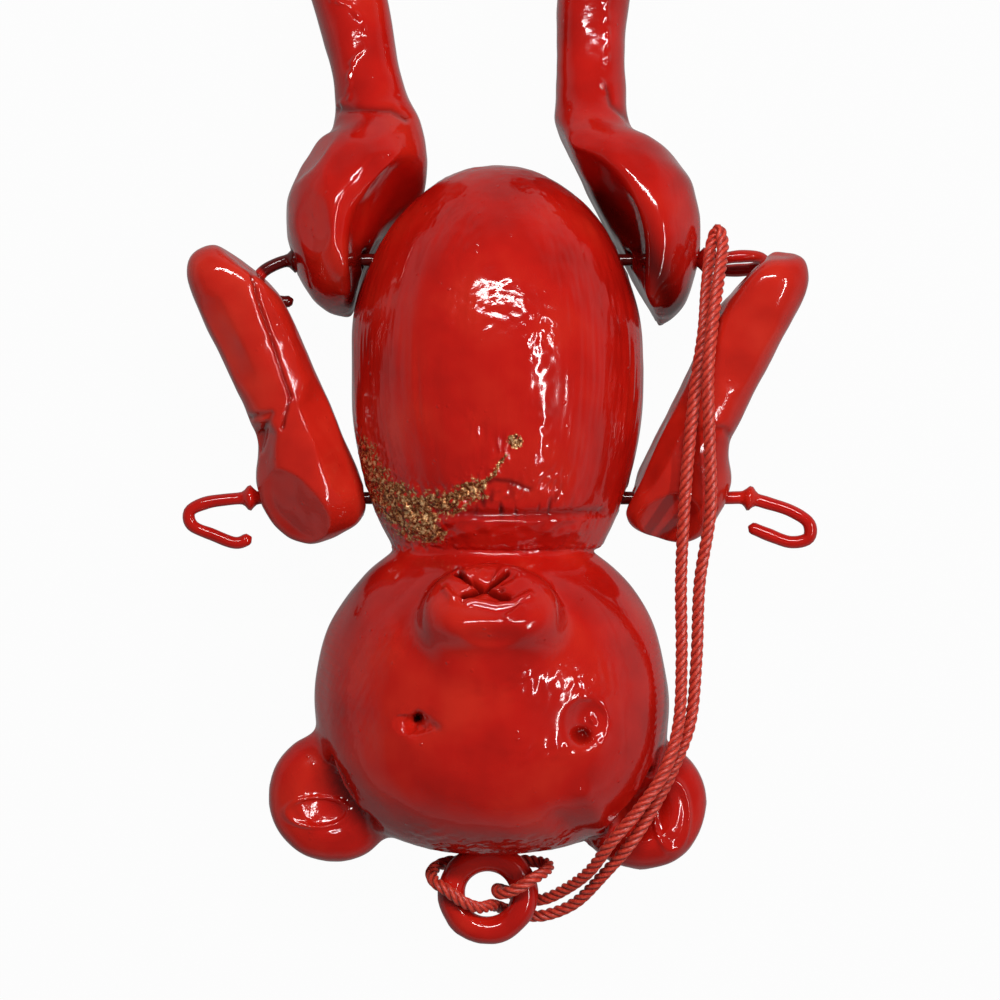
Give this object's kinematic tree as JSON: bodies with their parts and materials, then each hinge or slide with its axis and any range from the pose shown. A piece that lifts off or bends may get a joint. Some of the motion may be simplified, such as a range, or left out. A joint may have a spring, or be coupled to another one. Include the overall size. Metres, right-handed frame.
{
  "type": "jointed teddy bear ornament",
  "caption": "Jointed teddy bear ornament in glossy red enamel, with swinging arms and legs on through wires, a ring in its crown and a twisted hanging cord.",
  "frame": {"origin": "bottom centre of the bear's box without its cord, as it lies on its back", "axes": "+Z is the bear's front, +Y points to its feet and +X to the side where the cord lies"},
  "size_m": [0.0762, 0.1326, 0.0374],
  "materials": {
    "red_enamel": "thick glossy enamel",
    "wire_enamel": "glossy enamel on bent wire",
    "plain_steel": "plain",
    "red_satin": "twisted satin cord"
  },
  "bodies": {
    "bear_body": {"torso": "red_enamel", "head": "red_enamel", "neck_stud": "plain_steel", "hanging_ring": "red_enamel", "shoulder_wire": "wire_enamel", "hip_wire": "wire_enamel", "hanging_cord": "red_satin"},
    "left_arm": {"left_arm": "red_enamel"},
    "right_arm": {"right_arm": "red_enamel"},
    "left_leg": {"left_leg": "red_enamel"},
    "right_leg": {"right_leg": "red_enamel"}
  },
  "joints": [
    {"name": "left_shoulder", "type": "hinge", "parent": "bear_body", "child": "left_arm", "pos_m": [-0.00032, -0.01273, 0.0165], "axis": [1, 0, 0], "range_deg": [0, 130]},
    {"name": "right_shoulder", "type": "hinge", "parent": "bear_body", "child": "right_arm", "pos_m": [-0.00032, -0.01273, 0.0165], "axis": [1, 0, 0], "range_deg": [0, 130], "deforming": ["hanging_cord"]},
    {"name": "left_hip", "type": "hinge", "parent": "bear_body", "child": "left_leg", "pos_m": [-0.00032, 0.01587, 0.0165], "axis": [1, 0, 0], "range_deg": [-30, 90]},
    {"name": "right_hip", "type": "hinge", "parent": "bear_body", "child": "right_leg", "pos_m": [-0.00032, 0.01587, 0.0165], "axis": [1, 0, 0], "range_deg": [-30, 90]}
  ]
}
